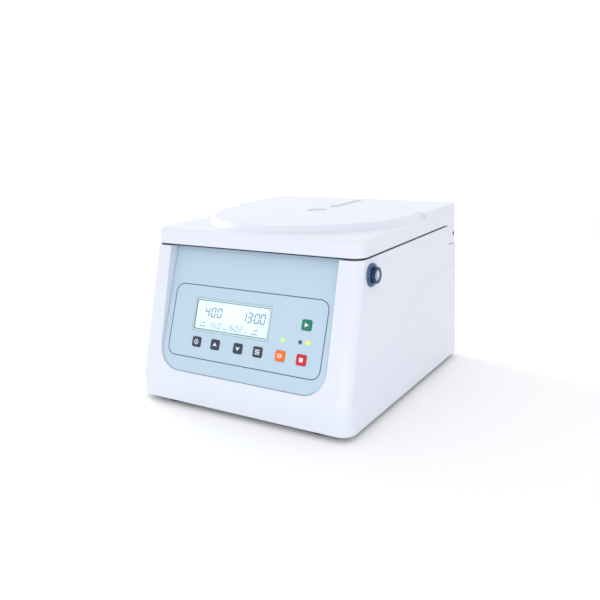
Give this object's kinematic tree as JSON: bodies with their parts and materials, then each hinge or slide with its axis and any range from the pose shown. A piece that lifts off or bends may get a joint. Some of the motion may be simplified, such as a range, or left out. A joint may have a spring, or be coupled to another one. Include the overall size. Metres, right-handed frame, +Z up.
{
  "type": "laboratory centrifuge",
  "caption": "Bench-top laboratory centrifuge with a sloped control panel, a rear-hinged lid, a steel bowl and an angle rotor for round tubes.",
  "frame": {"origin": "middle of the base's footprint, on the plane that the feet stand on", "axes": "+X to the operator's right, +Y to the back, +Z up; the control panel faces -Y"},
  "size_m": [0.303, 0.336, 0.2219],
  "materials": {
    "shell_white": "satin gloss",
    "panel_blue": "satin film",
    "lcd_glass": "clear",
    "lcd_screen": "back-lit",
    "key_dark": "satin",
    "key_orange": "satin",
    "key_red": "satin",
    "key_green": "satin",
    "led_green": "lit lens",
    "led_dark": "unlit lens",
    "led_amber": "lit lens",
    "rubber_black": "matte",
    "rubber_grey": "matte",
    "steel": "zinc plated",
    "bowl_steel": "spun",
    "dark_steel": "black oxide",
    "back_plate": "powder coat",
    "chrome": "polished",
    "aluminium": "anodised",
    "liner_grey": "fine texture",
    "black_plastic": "fine texture",
    "sleeve_plastic": "satin",
    "window_frost": "frosted",
    "board_green": "solder mask",
    "component_dark": "moulded",
    "copper": "enamelled wire",
    "bronze": "sintered"
  },
  "bodies": {
    "base": {"base_shell": "shell_white", "base_plate": "steel", "foot_front_left": "rubber_black", "foot_front_right": "rubber_black", "foot_rear_left": "rubber_black", "foot_rear_right": "rubber_black", "case_screws": "dark_steel", "front_panel": "panel_blue", "led_ready": "led_green", "led_run": "led_dark", "led_lid": "led_amber", "lcd_window": "lcd_glass", "lcd_module": "lcd_screen", "control_board": "board_green", "board_screws": "steel", "chamber_bowl": "bowl_steel", "chamber_gasket": "rubber_black", "motor_plate": "steel", "motor_posts": "steel", "rubber_dampers": "rubber_grey", "motor_housing": "aluminium", "motor_stator": "copper", "motor_bearings": "steel", "power_board": "board_green", "power_components": "component_dark", "rear_panel": "back_plate", "inlet_module": "black_plastic", "inlet_pins": "steel", "hinge_pin_right": "dark_steel", "hinge_pin_left": "dark_steel", "hinge_bracket_right": "steel", "hinge_bracket_left": "steel", "lock_flange": "chrome", "lock_nut": "steel", "lid_switch": "black_plastic"},
    "lid": {"lid_shell": "shell_white", "lid_liner": "liner_grey", "liner_screws": "steel", "lid_seal": "rubber_black", "port_ring": "shell_white", "port_window": "window_frost", "lid_striker": "steel", "hinge_bush_right": "bronze", "hinge_bush_left": "bronze"},
    "rotor": {"drive_shaft": "steel", "motor_magnets": "dark_steel", "rotor_head": "aluminium", "tube_sleeves": "sleeve_plastic", "rotor_nut": "dark_steel"},
    "lock": {"lock_knob": "chrome", "lock_cam": "steel"},
    "fuse_drawer": {"fuse_drawer": "black_plastic"},
    "power_rocker": {"power_rocker": "key_red"},
    "key_set": {"key_set": "key_dark"},
    "key_up": {"key_up": "key_dark"},
    "key_down": {"key_down": "key_dark"},
    "key_mode": {"key_mode": "key_dark"},
    "key_pulse": {"key_pulse": "key_orange"},
    "key_stop": {"key_stop": "key_red"},
    "key_start": {"key_start": "key_green"}
  },
  "joints": [
    {"name": "lid_hinge", "type": "hinge", "parent": "base", "child": "lid", "pos_m": [0, 0.1553, 0.1785], "axis": [-1, 0, 0], "range_deg": [0, 80]},
    {"name": "rotor_spin", "type": "hinge", "parent": "base", "child": "rotor", "pos_m": [0, 0.033, 0.1065], "axis": [0, 0, 1], "continuous": true},
    {"name": "lock_turn", "type": "hinge", "parent": "base", "child": "lock", "pos_m": [0.145, -0.102, 0.1731], "axis": [-1, 0, 0], "range_deg": [0, 90]},
    {"name": "fuse_drawer_slide", "type": "slide", "parent": "base", "child": "fuse_drawer", "axis": [0, 1, 0], "range_m": [0, 0.016]},
    {"name": "power_rocker_tilt", "type": "hinge", "parent": "base", "child": "power_rocker", "pos_m": [-0.054, 0.161, 0.0685], "axis": [1, 0, 0], "range_deg": [0, 20]},
    {"name": "key_set_press", "type": "slide", "parent": "base", "child": "key_set", "axis": [0, 0.9407, -0.3392], "range_m": [0, 0.0008], "stiffness_N_per_m": 400},
    {"name": "key_up_press", "type": "slide", "parent": "base", "child": "key_up", "axis": [0, 0.9407, -0.3392], "range_m": [0, 0.0008], "stiffness_N_per_m": 400},
    {"name": "key_down_press", "type": "slide", "parent": "base", "child": "key_down", "axis": [0, 0.9407, -0.3392], "range_m": [0, 0.0008], "stiffness_N_per_m": 400},
    {"name": "key_mode_press", "type": "slide", "parent": "base", "child": "key_mode", "axis": [0, 0.9407, -0.3392], "range_m": [0, 0.0008], "stiffness_N_per_m": 400},
    {"name": "key_pulse_press", "type": "slide", "parent": "base", "child": "key_pulse", "axis": [0, 0.9407, -0.3392], "range_m": [0, 0.0008], "stiffness_N_per_m": 400},
    {"name": "key_stop_press", "type": "slide", "parent": "base", "child": "key_stop", "axis": [0, 0.9407, -0.3392], "range_m": [0, 0.0008], "stiffness_N_per_m": 400},
    {"name": "key_start_press", "type": "slide", "parent": "base", "child": "key_start", "axis": [0, 0.9407, -0.3392], "range_m": [0, 0.0008], "stiffness_N_per_m": 400}
  ]
}
